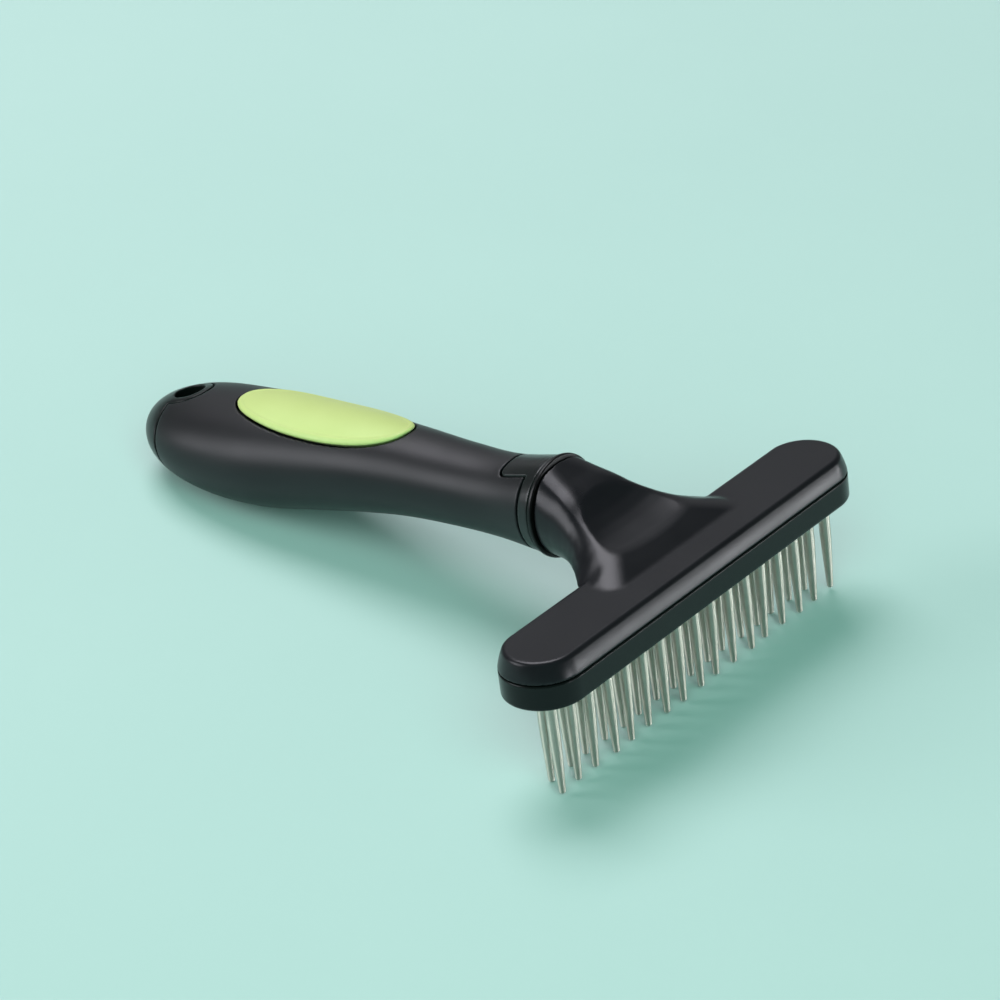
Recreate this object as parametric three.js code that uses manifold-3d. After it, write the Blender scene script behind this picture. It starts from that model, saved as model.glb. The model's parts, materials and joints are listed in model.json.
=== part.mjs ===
// An undercoat rake: a T-shaped head with two staggered rows of turning steel pins, on a soft-grip handle.
// Millimetres, +Z up. The rake stands as it is laid on a table, on its pin tips and the belly of its handle.
// +X runs along the head and +Y from the head towards the handle's tail. The origin is on the table, under
// the middle of the rake.
import * as THREE from 'three';
import Module from 'manifold-3d';
import { mergeVertices } from 'three/addons/utils/BufferGeometryUtils.js';

// The gap left between pieces that touch.
const GAP = 0.3;
// How far joined parts of one piece reach into each other, and how far a cutting body runs past what it cuts.
const OVERLAP = 1;
const OVERRUN = 4;
const TALL = 200;

// Head, in its own frame: u along the head (+X), v towards the handle, w up from the base plate's underside.
const HEAD_LENGTH = 110;
const HEAD_WIDTH = 18.9;
const HEAD_HEIGHT = 10.5;
const BASE_HEIGHT = 5.85;
const SHELL_BOTTOM = 6.15;
const TOP_EDGE_ACROSS = 1.6;
const TOP_EDGE_DOWN = 4.3;
const BASE_EDGE_RADIUS = 0.8;
const HEAD_CENTRE_Y = -69.9;
const HEAD_CENTRE_Z = 22.94;
const HEAD_TILT = THREE.MathUtils.degToRad(-8.6);

// The hollow inside the head, and how far in from the head's outline its walls stand.
const BASE_FLOOR = 3;
const BASE_WALL = 2.4;
const LIP_INSET = BASE_WALL + GAP;
const LIP_THICKNESS = 0.9;
const LIP_BOTTOM = 4.9;
const SHELL_WALL = LIP_INSET + LIP_THICKNESS;
const SHELL_CEILING = 8.4;
const RETAINER_INSET = SHELL_WALL + GAP;
const RETAINER_BOTTOM = 4.5;
const RETAINER_TOP = 6.3;
const RIB_INSET = 7.5;
const RIB_TOP = SHELL_CEILING - GAP;

// Pins.
const PIN_PITCH = 6;
const ROW_SPACING = 4.87;
const FRONT_PINS = 17;
const BACK_PINS = 16;
const PIN_REACH = 22.8;
const PIN_RADIUS = 1.25;
const PIN_MIDDLE_RADIUS = 1.03;
const PIN_TIP_RADIUS = 0.7;
const PIN_TIP_LENGTH = 0.5;
const PIN_END_RADIUS = 0.45;
const PIN_END_LENGTH = 0.1;
const PIN_TAPER_START = 9;
const PIN_HEAD_RADIUS = 1.85;
const PIN_HEAD_BOTTOM = 3.2;
const PIN_HEAD_TOP = 4.3;
const PIN_HOLE_RADIUS = 1.44;
// Each pin stands a little loose in its hole, so it leans by up to these angles along and across the head.
const PIN_LEAN_ALONG = THREE.MathUtils.degToRad(0.9);
const PIN_LEAN_ACROSS = THREE.MathUtils.degToRad(0.63);
const LEAN_STEP_ALONG = 2.4;
const LEAN_STEP_ACROSS = 1.7;

// Handle. Stations are evenly spaced along Y and give the middle's height, half the height and half the
// width.
const STATION_START = -37.7;
const STATION_STEP = 13.25;
const MIDDLE_Z = [31.3, 28.4, 26.2, 24.0, 21.1, 17.6, 14.2, 11.7, 10.6, 10.9];
const HALF_HEIGHT = [10.8, 9.1, 9.0, 9.6, 10.6, 11.5, 12.3, 11.7, 9.9, 7.9];
const HALF_WIDTH = [10.9, 9.6, 10.0, 11.0, 12.5, 14.1, 15.8, 15.8, 14.3, 12.2];
const TAIL_END = 79.1;
const TAIL_ROUNDING = 22;
// The tail closes to a small flat at this share of its rounding. Its steps crowd towards it by this power.
const TAIL_CLOSING = 0.995;
const TAIL_CROWDING = 1.5;
const SLEEVE_THICKNESS = 2.2;
const CORE_INSET = SLEEVE_THICKNESS + GAP;

// The joint between neck and handle, as places along Y on the handle's middle line.
const NECK_REAR_Y = -39.1;
const RING_THICKNESS = 1.1;
const RING_RADIUS = 11.3;
const RING_BEVEL = 0.3;
const RING_BORE_RADIUS = 7.9;
const COLLAR_FRONT_Y = -37.4;
const GRIP_START_Y = -34.2;
const TONGUE_END_Y = -25.2;
const TONGUE_HALF_WIDTH = 5.2;
const TONGUE_CORNER = 1.6;

// The tang that carries the head inside the handle.
const TANG_ROOT_RADIUS = 7.4;
const TANG_ROOT_LENGTH = 6.5;
const TANG_WIDTH = 10.4;
const TANG_HEIGHT = 8;
const TANG_LENGTH = 30;
const TANG_PIN_RADIUS = 1.5;
const TANG_PIN_DISTANCE = 20;
const TANG_PIN_HALF_LENGTH = 6.6;

// The hollow in the core behind the tang.
const HOLLOW_INSET = 5.8;
const HOLLOW_START_Y = -12;
const HOLLOW_END_Y = 50;
const CORE_END_Y = 60;

// Thumb pad: an oval seen from above, standing a little proud of the grip.
const PAD_CENTRE_Y = 28.3;
const PAD_HALF_LENGTH = 24.3;
const PAD_HALF_WIDTH = 8.8;
const PAD_FULLNESS = 2.3;
const PAD_SEGMENTS = 40;
const PAD_PROUD = 0.4;
const PAD_BASE_Z = 18;

// End cap: it closes the tail, and its round boss carries the hang hole through the handle.
const HANG_HOLE_Y = 69.1;
const HANG_HOLE_RADIUS = 3.5;
const BOSS_RADIUS = 5.3;
const CAP_EDGE_Y = 68;
const CAP_EDGE_Z = 11;
const CAP_EDGE_SLOPE = 0.45;

// Neck, in the head's frame. Each station along v gives, from the front to the rear face: half the width and
// the height of the widest line, the two crests' distance from the middle and their height, the height of the
// scoop's middle between them, the underside, and how far the flanks bulge: 1 is round and 0 is straight.
const NECK = [
  { v: -3, width: 24.3, side: 9.8, crest: 13.5, crestTop: 13.7, middle: 12.9, under: 9, bulge: 0 },
  { v: 5.2, width: 24.3, side: 9.8, crest: 13.5, crestTop: 13.7, middle: 12.9, under: 9, bulge: 0 },
  { v: 7.2, width: 22.9, side: 9.7, crest: 13.5, crestTop: 13.75, middle: 13, under: 6.5, bulge: 0 },
  { v: 9.4, width: 21.8, side: 9.5, crest: 12.8, crestTop: 14.1, middle: 13.4, under: 6.4, bulge: 0.1 },
  { v: 11.2, width: 19.8, side: 9.4, crest: 11.9, crestTop: 14.6, middle: 13.8, under: 6.1, bulge: 0.2 },
  { v: 13.6, width: 17.4, side: 9.4, crest: 10.7, crestTop: 15.5, middle: 14.6, under: 5.5, bulge: 0.35 },
  { v: 16.6, width: 14.9, side: 9.7, crest: 8.9, crestTop: 17, middle: 16.1, under: 4.7, bulge: 0.55 },
  { v: 18.8, width: 13.5, side: 10.1, crest: 6.8, crestTop: 18.6, middle: 17.8, under: 4.1, bulge: 0.7 },
  { v: 20.8, width: 12.5, side: 10.6, crest: 4.8, crestTop: 20.3, middle: 19.9, under: 3.6, bulge: 0.82 },
  { v: 22.5, width: 11.9, side: 11.2, crest: 3.6, crestTop: 21.2, middle: 21.2, under: 3.3, bulge: 0.9 },
  { v: 25, width: 11.2, side: 12, crest: 2.6, crestTop: 22, middle: 22, under: 2.9, bulge: 0.95 },
  { v: 29, width: 10.5, side: 13.2, crest: 0.5, crestTop: 23.7, middle: 23.7, under: 2.7, bulge: 1 },
];
// The neck's front slopes up from the head's flat top, starting here.
const NECK_FOOT_V = -0.9;
const NECK_FRONT_SLOPE = THREE.MathUtils.degToRad(23);

// Facets round each kind of body.
const HANDLE_SIDES = 24;
const HANDLE_STEPS = 16;
const INNER_SIDES = 16;
const NECK_SIDES = 28;
const ROUND_SIDES = 24;
const PIN_SIDES = 8;
const HOLE_SIDES = 12;
const END_SEGMENTS = 10;
const TOP_EDGE_SEGMENTS = 4;
const BASE_EDGE_SEGMENTS = 2;
const CORE_STEPS = 12;
const HOLLOW_STEPS = 8;
const PAD_STEPS = 10;
const TONGUE_STEPS = 3;
const TONGUE_CORNER_SEGMENTS = 4;
const COLLAR_STEPS = 2;

const wasm = await Module();
wasm.setup();

function solid(geometry) {
  const bare = geometry.clone();
  bare.deleteAttribute('normal');
  bare.deleteAttribute('uv');
  const merged = mergeVertices(bare, 1e-4);
  return new wasm.Manifold(new wasm.Mesh({
    numProp: 3,
    vertProperties: new Float32Array(merged.attributes.position.array),
    triVerts: new Uint32Array(merged.index.array),
  }));
}

function meshOf(name, body, material) {
  const { vertProperties, triVerts } = body.getMesh();
  const geometry = new THREE.BufferGeometry();
  geometry.setAttribute('position', new THREE.BufferAttribute(vertProperties, 3));
  geometry.setIndex(new THREE.BufferAttribute(triVerts, 1));
  geometry.computeVertexNormals();
  const mesh = new THREE.Mesh(geometry, material);
  mesh.name = name;
  return mesh;
}

function plastic(color, roughness) {
  return new THREE.MeshStandardMaterial({ color, roughness, metalness: 0 });
}

// A cylinder along +Y whose every vertex is put elsewhere: place(along, across, up) takes 0 to 1 from front
// to rear and the vertex's two coordinates on a unit circle.
function reshaped(sides, steps, place) {
  const geometry = new THREE.CylinderGeometry(1, 1, 1, sides, steps);
  const position = geometry.attributes.position;
  for (let i = 0; i < position.count; i += 1) {
    const point = place(position.getY(i) + 0.5, position.getX(i), position.getZ(i));
    position.setXYZ(i, point.x, point.y, point.z);
  }
  return solid(geometry);
}

function block(width, depth, height, x, y, z) {
  return solid(new THREE.BoxGeometry(width, depth, height).translate(x, y, z));
}

// A smooth curve through evenly spaced values, straight beyond its ends.
function smooth(values, y) {
  const last = values.length - 1;
  const place = (y - STATION_START) / STATION_STEP;
  const step = THREE.MathUtils.clamp(Math.floor(place), 0, last - 1);
  const t = place - step;
  const from = values[step];
  const to = values[step + 1];
  const before = step > 0 ? values[step - 1] : 2 * from - to;
  const after = step < last - 1 ? values[step + 2] : 2 * to - from;
  if (t < 0 || t > 1) {
    return from + (to - from) * t;
  }
  const bend = 2 * before - 5 * from + 4 * to - after;
  const twist = 3 * (from - to) + after - before;
  return from + (t * (to - before + t * (bend + t * twist))) / 2;
}

function middleAt(y) {
  return new THREE.Vector3(0, y, smooth(MIDDLE_Z, y));
}

function directionAt(y) {
  return middleAt(y + 0.5).sub(middleAt(y - 0.5)).normalize();
}

// A point of the handle's section at y, which is square to the middle line, inset from the outer surface.
function handlePoint(y, across, up, inset) {
  const end = TAIL_END - inset;
  const closing = THREE.MathUtils.clamp((y - end + TAIL_ROUNDING) / TAIL_ROUNDING, 0, TAIL_CLOSING);
  const roundness = Math.sqrt(1 - closing ** 3);
  const halfWidth = (smooth(HALF_WIDTH, y) - inset) * roundness;
  const halfHeight = (smooth(HALF_HEIGHT, y) - inset) * roundness;
  const direction = directionAt(y);
  const upwards = new THREE.Vector3(0, -direction.z, direction.y);
  const point = middleAt(y).addScaledVector(upwards, up * halfHeight);
  point.x = across * halfWidth;
  return point;
}

// The handle's body from one place along Y to another, with its steps closer together towards the rear.
function handleBody(fromY, toY, inset, sides = HANDLE_SIDES, steps = HANDLE_STEPS) {
  const crowding = toY > CORE_END_Y ? TAIL_CROWDING : 1;
  return reshaped(sides, steps, (along, across, up) => {
    const y = toY - (toY - fromY) * (1 - along) ** crowding;
    return handlePoint(y, across, up, inset);
  });
}

// Turns a shape made along +Z at the origin to run rearwards along the handle's middle line from y.
function alongHandle(geometry, y) {
  const direction = directionAt(y);
  geometry.rotateX(-Math.atan2(direction.y, direction.z));
  const start = middleAt(y);
  return geometry.translate(start.x, start.y, start.z);
}

// A straight cylinder on the handle's middle line, starting a distance behind y.
function rodAlongHandle(radius, length, y, distance = 0, sides = ROUND_SIDES) {
  const rod = new THREE.CylinderGeometry(radius, radius, length, sides).rotateX(Math.PI / 2);
  return solid(alongHandle(rod.translate(0, 0, distance + length / 2), y));
}

// A straight bar on the handle's middle line.
function barAlongHandle(width, height, length, y, distance) {
  const bar = new THREE.BoxGeometry(width, height, length).translate(0, 0, distance + length / 2);
  return solid(alongHandle(bar, y));
}

// The cross pin's shape, through the tang, square to the handle.
function crossPin(radius, halfLength) {
  const rod = new THREE.CylinderGeometry(radius, radius, 2 * halfLength, HOLE_SIDES).rotateZ(Math.PI / 2);
  return solid(alongHandle(rod.translate(0, 0, TANG_PIN_DISTANCE), NECK_REAR_Y));
}

// Everything behind the edge of the end cap, which leans rearwards as it rises.
function behindCapEdge(shift) {
  const slab = new THREE.BoxGeometry(TALL, TALL, TALL).translate(0, TALL / 2, 0);
  slab.rotateX(-Math.atan(CAP_EDGE_SLOPE));
  return solid(slab.translate(0, CAP_EDGE_Y + shift, CAP_EDGE_Z));
}

// Everything behind a place along Y, square to the table.
function behind(y) {
  return block(TALL, TALL, TALL, 0, y + TALL / 2, 0);
}

// An upright prism from an outline drawn in X and Y.
function prism(shape, bottom, top, segments = END_SEGMENTS) {
  const geometry = new THREE.ExtrudeGeometry(shape, {
    depth: top - bottom, bevelEnabled: false, curveSegments: segments,
  });
  return solid(geometry.translate(0, 0, bottom));
}

// An outline with straight sides and round ends, inset from the head's outline.
function headOutline(inset) {
  const radius = HEAD_WIDTH / 2 - inset;
  const reach = (HEAD_LENGTH - HEAD_WIDTH) / 2;
  const shape = new THREE.Shape();
  shape.absarc(reach, 0, radius, -Math.PI / 2, Math.PI / 2, false);
  shape.absarc(-reach, 0, radius, Math.PI / 2, (3 * Math.PI) / 2, false);
  return shape;
}

// A slab with the head's outline whose edges are rounded all round, top and bottom, by a distance inwards and
// another one down.
function roundedSlab(bottom, top, inwards, down, segments) {
  const geometry = new THREE.ExtrudeGeometry(headOutline(0), {
    depth: top - bottom - 2 * down,
    bevelThickness: down,
    bevelSize: inwards,
    bevelOffset: -inwards,
    bevelSegments: segments,
    curveSegments: END_SEGMENTS,
  });
  return solid(geometry.translate(0, 0, bottom + down));
}

// Where a point on the handle lies in the head's frame.
function headFrame() {
  const frame = new THREE.Matrix4().makeRotationX(HEAD_TILT);
  return frame.setPosition(0, HEAD_CENTRE_Y, HEAD_CENTRE_Z);
}

function intoHeadFrame(body) {
  return body.transform(headFrame().invert().elements);
}

function intoTableFrame(body) {
  return body.transform(headFrame().elements);
}

// A point of the neck's surface. Between the crests the top is scooped, and outside them it falls to the
// side.
function neckPoint(station, across, up) {
  const { v, width, side, crest, crestTop, middle, under, bulge } = station;
  const u = across * width;
  const distance = Math.abs(u);
  if (up < 0) {
    return new THREE.Vector3(u, v, side + up * (side - under));
  }
  if (distance < crest) {
    return new THREE.Vector3(u, v, middle + (crestTop - middle) * (distance / crest) ** 2);
  }
  const out = Math.min((distance - crest) / (width - crest), 1);
  const drop = (1 - bulge) * out + bulge * out ** 2;
  return new THREE.Vector3(u, v, side + (crestTop - side) * (1 - drop) ** (1 - 0.5 * bulge));
}

// Everything under the neck's sloping front.
function underNeckFront() {
  const slab = new THREE.BoxGeometry(TALL, TALL, TALL).translate(0, 0, -TALL / 2);
  return solid(slab.rotateX(NECK_FRONT_SLOPE).translate(0, NECK_FOOT_V, HEAD_HEIGHT));
}

// The neck. Its rear face leans by the difference between the handle's slope and the head's tilt.
function neckBody() {
  const last = NECK.length - 1;
  const rearLean = HEAD_TILT - Math.asin(directionAt(NECK_REAR_Y).z);
  const loft = reshaped(NECK_SIDES, last, (along, across, up) => {
    const index = Math.round(along * last);
    const station = NECK[index];
    const isFaceCentre = across === 0 && up === 0;
    if (isFaceCentre) {
      return new THREE.Vector3(0, station.v, (station.middle + station.under) / 2);
    }
    const point = neckPoint(station, across, up);
    if (index === last) {
      point.y += (point.z - station.side) * Math.tan(rearLean);
    }
    return point;
  });
  return loft.intersect(underNeckFront());
}

// The upper half of the head: the T-shaped cover, its neck and the tang that runs into the handle.
function headShell(material) {
  const above = block(TALL, TALL, TALL, 0, 0, SHELL_BOTTOM + TALL / 2);
  const slab = roundedSlab(-HEAD_HEIGHT, HEAD_HEIGHT, TOP_EDGE_ACROSS, TOP_EDGE_DOWN, TOP_EDGE_SEGMENTS);
  const cover = slab.intersect(above);
  const cavity = prism(headOutline(SHELL_WALL), 0, SHELL_CEILING);
  const lip = prism(headOutline(LIP_INSET), LIP_BOTTOM, SHELL_BOTTOM + OVERLAP);
  const rootLength = TANG_ROOT_LENGTH + OVERLAP;
  const root = intoHeadFrame(rodAlongHandle(TANG_ROOT_RADIUS, rootLength, NECK_REAR_Y, -OVERLAP));
  const barLength = TANG_LENGTH + OVERLAP;
  const bar = intoHeadFrame(barAlongHandle(TANG_WIDTH, TANG_HEIGHT, barLength, NECK_REAR_Y, -OVERLAP));
  const crossHole = intoHeadFrame(crossPin(TANG_PIN_RADIUS + GAP, TANG_WIDTH));
  const body = cover.add(lip).subtract(cavity).add(neckBody()).add(root).add(bar).subtract(crossHole);
  return meshOf('head_shell', body, material);
}

// Places of the pins in the head's frame, with the small lean of each.
function pinPlaces() {
  const rows = [
    { row: 'front', count: FRONT_PINS, v: -ROW_SPACING / 2 },
    { row: 'back', count: BACK_PINS, v: ROW_SPACING / 2 },
  ];
  return rows.flatMap(({ row, count, v }) => Array.from({ length: count }, (_, i) => ({
    name: `${row}_pin_${String(i + 1).padStart(2, '0')}`,
    u: (i - (count - 1) / 2) * PIN_PITCH,
    v,
    leanAlong: PIN_LEAN_ALONG * Math.sin(LEAN_STEP_ALONG * i + v),
    leanAcross: PIN_LEAN_ACROSS * Math.cos(LEAN_STEP_ACROSS * i + v),
  })));
}

// The lower half of the head: a tray with one hole for each pin.
function basePlate(material) {
  const below = block(TALL, TALL, TALL, 0, 0, BASE_HEIGHT - TALL / 2);
  const slab = roundedSlab(0, 2 * HEAD_HEIGHT, BASE_EDGE_RADIUS, BASE_EDGE_RADIUS, BASE_EDGE_SEGMENTS);
  const tray = slab.intersect(below);
  const pocket = prism(headOutline(BASE_WALL), BASE_FLOOR, HEAD_HEIGHT);
  const hole = new THREE.CylinderGeometry(PIN_HOLE_RADIUS, PIN_HOLE_RADIUS, TALL, HOLE_SIDES);
  hole.rotateX(Math.PI / 2);
  const holes = pinPlaces().map(({ u, v }) => solid(hole.clone().translate(u, v, 0)));
  return meshOf('base_plate', tray.subtract(pocket).subtract(wasm.Manifold.union(holes)), material);
}

// The plate over the pins' heads, with the rib that the shell presses on.
function pinRetainer(material) {
  const plate = prism(headOutline(RETAINER_INSET), RETAINER_BOTTOM, RETAINER_TOP);
  const rib = prism(headOutline(RIB_INSET), RETAINER_TOP - OVERLAP, RIB_TOP);
  return meshOf('pin_retainer', plate.add(rib), material);
}

// One turned steel pin: a flat head, a straight shank and a long taper to a blunt, rounded tip.
function pinGeometry() {
  const profile = [
    [0, -PIN_REACH],
    [PIN_END_RADIUS, -PIN_REACH + PIN_END_LENGTH],
    [PIN_TIP_RADIUS, -PIN_REACH + PIN_TIP_LENGTH],
    [PIN_MIDDLE_RADIUS, (-PIN_REACH - PIN_TAPER_START) / 2],
    [PIN_RADIUS, -PIN_TAPER_START],
    [PIN_RADIUS, PIN_HEAD_BOTTOM],
    [PIN_HEAD_RADIUS, PIN_HEAD_BOTTOM],
    [PIN_HEAD_RADIUS, PIN_HEAD_TOP],
    [0, PIN_HEAD_TOP],
  ].map(([radius, height]) => new THREE.Vector2(radius, height));
  return new THREE.LatheGeometry(profile, PIN_SIDES).rotateX(Math.PI / 2);
}

function pins(material) {
  const shape = solid(pinGeometry());
  return pinPlaces().map(({ name, u, v, leanAlong, leanAcross }) => {
    const pin = meshOf(name, shape, material);
    pin.position.set(u, v, 0);
    pin.rotation.set(leanAcross, leanAlong, 0);
    return pin;
  });
}

// The thin ring that trims the joint between neck and handle.
function neckRing(material) {
  const half = RING_THICKNESS / 2;
  const profile = [
    [RING_BORE_RADIUS, -half],
    [RING_RADIUS - RING_BEVEL, -half],
    [RING_RADIUS, 0],
    [RING_RADIUS - RING_BEVEL, half],
    [RING_BORE_RADIUS, half],
    [RING_BORE_RADIUS, -half],
  ].map(([radius, height]) => new THREE.Vector2(radius, height));
  const ring = new THREE.LatheGeometry(profile, ROUND_SIDES).rotateX(Math.PI / 2);
  ring.translate(0, 0, GAP + half);
  return meshOf('neck_ring', solid(alongHandle(ring, NECK_REAR_Y)), material);
}

// The tongue on top of the collar, seen from above, grown by a margin all round.
function tongueOutline(margin) {
  const half = TONGUE_HALF_WIDTH + margin;
  const end = TONGUE_END_Y + margin;
  const corner = TONGUE_CORNER + margin;
  const shape = new THREE.Shape();
  shape.moveTo(-half, GRIP_START_Y - OVERRUN);
  shape.lineTo(half, GRIP_START_Y - OVERRUN);
  shape.absarc(half - corner, end - corner, corner, 0, Math.PI / 2, false);
  shape.absarc(-half + corner, end - corner, corner, Math.PI / 2, Math.PI, false);
  return shape;
}

function tonguePrism(margin) {
  return prism(tongueOutline(margin), MIDDLE_Z[1], TALL, TONGUE_CORNER_SEGMENTS);
}

// The hard inner body of the handle. Its collar and tongue show in front of the grip.
function handleCore(material) {
  const startY = GRIP_START_Y - OVERLAP;
  const long = handleBody(startY, CORE_END_Y + OVERRUN, CORE_INSET, HANDLE_SIDES, CORE_STEPS);
  const inner = long.subtract(behind(CORE_END_Y));
  const collar = handleBody(COLLAR_FRONT_Y, GRIP_START_Y - GAP, 0, HANDLE_SIDES, COLLAR_STEPS);
  const tongueSkin = handleBody(startY, TONGUE_END_Y + OVERRUN, 0, HANDLE_SIDES, TONGUE_STEPS);
  const tongue = tongueSkin.intersect(tonguePrism(0));
  const rootBore = rodAlongHandle(TANG_ROOT_RADIUS + GAP, TANG_ROOT_LENGTH + GAP, NECK_REAR_Y);
  const width = TANG_WIDTH + 2 * GAP;
  const height = TANG_HEIGHT + 2 * GAP;
  const socket = barAlongHandle(width, height, TANG_LENGTH + GAP, NECK_REAR_Y, 0);
  const hollow = handleBody(HOLLOW_START_Y, HOLLOW_END_Y, HOLLOW_INSET, INNER_SIDES, HOLLOW_STEPS);
  const crossHole = crossPin(TANG_PIN_RADIUS + GAP, HEAD_WIDTH);
  const body = inner.add(collar).add(tongue).subtract(rootBore).subtract(socket).subtract(hollow);
  return meshOf('handle_core', body.subtract(crossHole), material);
}

// The thumb pad's full oval seen from above, grown by a margin all round.
function padOutline(margin) {
  const shape = new THREE.Shape();
  for (let i = 0; i < PAD_SEGMENTS; i += 1) {
    const turn = (2 * Math.PI * i) / PAD_SEGMENTS;
    const across = Math.sign(Math.cos(turn)) * Math.abs(Math.cos(turn)) ** (2 / PAD_FULLNESS);
    const along = Math.sign(Math.sin(turn)) * Math.abs(Math.sin(turn)) ** (2 / PAD_FULLNESS);
    const x = across * (PAD_HALF_WIDTH + margin);
    const y = PAD_CENTRE_Y + along * (PAD_HALF_LENGTH + margin);
    if (i === 0) {
      shape.moveTo(x, y);
    } else {
      shape.lineTo(x, y);
    }
  }
  return shape;
}

function padPrism(margin) {
  return prism(padOutline(margin), PAD_BASE_Z, TALL);
}

// The upright boss round the hang hole, open towards the tail, grown by a margin all round.
function bossPrism(margin) {
  const radius = BOSS_RADIUS + margin;
  const shape = new THREE.Shape();
  shape.moveTo(radius, TAIL_END + radius);
  shape.lineTo(-radius, TAIL_END + radius);
  shape.absarc(0, HANG_HOLE_Y, radius, -Math.PI, 0, false);
  return prism(shape, -TALL, TALL);
}

// The soft moulded grip, with windows for the thumb pad, the collar's tongue and the end cap's boss.
function gripSleeve(material) {
  const outer = handleBody(GRIP_START_Y, TAIL_END, 0);
  const inner = handleBody(GRIP_START_Y - OVERRUN, TAIL_END - SLEEVE_THICKNESS, SLEEVE_THICKNESS);
  const body = outer.subtract(inner).subtract(behindCapEdge(-GAP)).subtract(bossPrism(GAP))
    .subtract(padPrism(GAP)).subtract(tonguePrism(GAP));
  return meshOf('grip_sleeve', body, material);
}

// The coloured thumb pad, which sits in the grip's oval window on the core.
function thumbPad(material) {
  const fromY = PAD_CENTRE_Y - PAD_HALF_LENGTH - OVERLAP;
  const toY = PAD_CENTRE_Y + PAD_HALF_LENGTH + OVERLAP;
  const outer = handleBody(fromY, toY, -PAD_PROUD, HANDLE_SIDES, PAD_STEPS);
  const inner = handleBody(fromY - OVERRUN, toY + OVERRUN, SLEEVE_THICKNESS, HANDLE_SIDES, PAD_STEPS);
  return meshOf('thumb_pad', outer.intersect(padPrism(0)).subtract(inner), material);
}

// The hard end cap, its boss round the hang hole, and the plug that it has inside the grip.
function endCap(material) {
  const outer = handleBody(GRIP_START_Y, TAIL_END, 0);
  const inside = handleBody(GRIP_START_Y, TAIL_END - CORE_INSET, CORE_INSET);
  const plug = inside.intersect(behind(CORE_END_Y + GAP));
  const hole = new THREE.CylinderGeometry(HANG_HOLE_RADIUS, HANG_HOLE_RADIUS, TALL, ROUND_SIDES);
  hole.rotateX(Math.PI / 2).translate(0, HANG_HOLE_Y, 0);
  const boss = bossPrism(0).intersect(behind(CORE_END_Y));
  const body = outer.intersect(behindCapEdge(0).add(boss)).add(plug).subtract(solid(hole));
  return meshOf('end_cap', body, material);
}

function buildRake() {
  const shellPlastic = plastic(0x222124, 0.42);
  const basePlastic = plastic(0x1d2122, 0.5);
  const corePlastic = plastic(0x1f1e21, 0.4);
  const gripRubber = plastic(0x2a2a2d, 0.75);
  const padRubber = plastic(0xc3e07c, 0.6);
  const innerPlastic = plastic(0x3c3c40, 0.6);
  const steel = new THREE.MeshStandardMaterial({ color: 0xc9cdc6, roughness: 0.22, metalness: 1 });

  const head = new THREE.Group();
  head.position.set(0, HEAD_CENTRE_Y, HEAD_CENTRE_Z);
  head.rotation.x = HEAD_TILT;
  head.add(headShell(shellPlastic), basePlate(basePlastic), pinRetainer(innerPlastic), ...pins(steel));

  const handle = new THREE.Group();
  handle.add(neckRing(corePlastic), handleCore(corePlastic), gripSleeve(gripRubber));
  handle.add(thumbPad(padRubber), endCap(corePlastic));
  handle.add(meshOf('tang_pin', crossPin(TANG_PIN_RADIUS, TANG_PIN_HALF_LENGTH), steel));

  const rake = new THREE.Group();
  rake.add(head, handle);
  return rake;
}

export default buildRake();
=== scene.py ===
import json
import math

import bpy
import numpy as np
from mathutils import Matrix, Vector


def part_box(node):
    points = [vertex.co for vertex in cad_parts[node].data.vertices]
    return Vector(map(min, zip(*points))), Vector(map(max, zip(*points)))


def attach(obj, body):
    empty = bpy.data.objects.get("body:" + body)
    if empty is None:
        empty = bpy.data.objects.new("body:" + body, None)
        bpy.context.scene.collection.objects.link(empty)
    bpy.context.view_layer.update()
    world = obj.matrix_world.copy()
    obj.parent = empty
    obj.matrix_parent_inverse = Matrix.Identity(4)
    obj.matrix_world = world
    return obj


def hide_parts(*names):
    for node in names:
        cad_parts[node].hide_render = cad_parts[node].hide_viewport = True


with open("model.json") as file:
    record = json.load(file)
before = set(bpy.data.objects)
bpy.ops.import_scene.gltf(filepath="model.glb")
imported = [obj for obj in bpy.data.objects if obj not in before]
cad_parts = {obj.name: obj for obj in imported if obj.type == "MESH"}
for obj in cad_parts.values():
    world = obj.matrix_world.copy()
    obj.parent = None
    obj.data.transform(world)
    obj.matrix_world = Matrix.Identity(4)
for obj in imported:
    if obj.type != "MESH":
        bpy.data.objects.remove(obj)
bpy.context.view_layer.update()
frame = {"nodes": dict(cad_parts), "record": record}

MM = 0.001
GAP = 0.3
# The groove that shows between the handle's outer pieces.
SEAM = 0.42

# Head, in its own frame: u along the head, v towards the handle, w up from the base plate's underside.
HEAD_LENGTH = 110
HEAD_WIDTH = 18.9
HEAD_HEIGHT = 10.5
BASE_HEIGHT = 5.85
SHELL_BOTTOM = 6.15
SIDE_LEAN = 0.2
SIDE_CURVE = 0.03
# A leaning side's field climbs faster than distance does, and this evens it out.
SIDE_EVENING = 0.96
TOP_EDGE_RADIUS = 0.75
BASE_EDGE_RADIUS = 0.8
PARTING_EDGE_RADIUS = 0.15
HEAD_CENTRE_Y = -69.9
HEAD_CENTRE_Z = 22.94
HEAD_TILT = math.radians(-8.6)
BASE_FLOOR = 3
BASE_WALL = 2.4
LIP_INSET = BASE_WALL + GAP
LIP_THICKNESS = 0.9
LIP_BOTTOM = 4.9
SHELL_WALL = LIP_INSET + LIP_THICKNESS
LIP_OVERLAP = 1
SHELL_CEILING = 8.4

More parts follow.
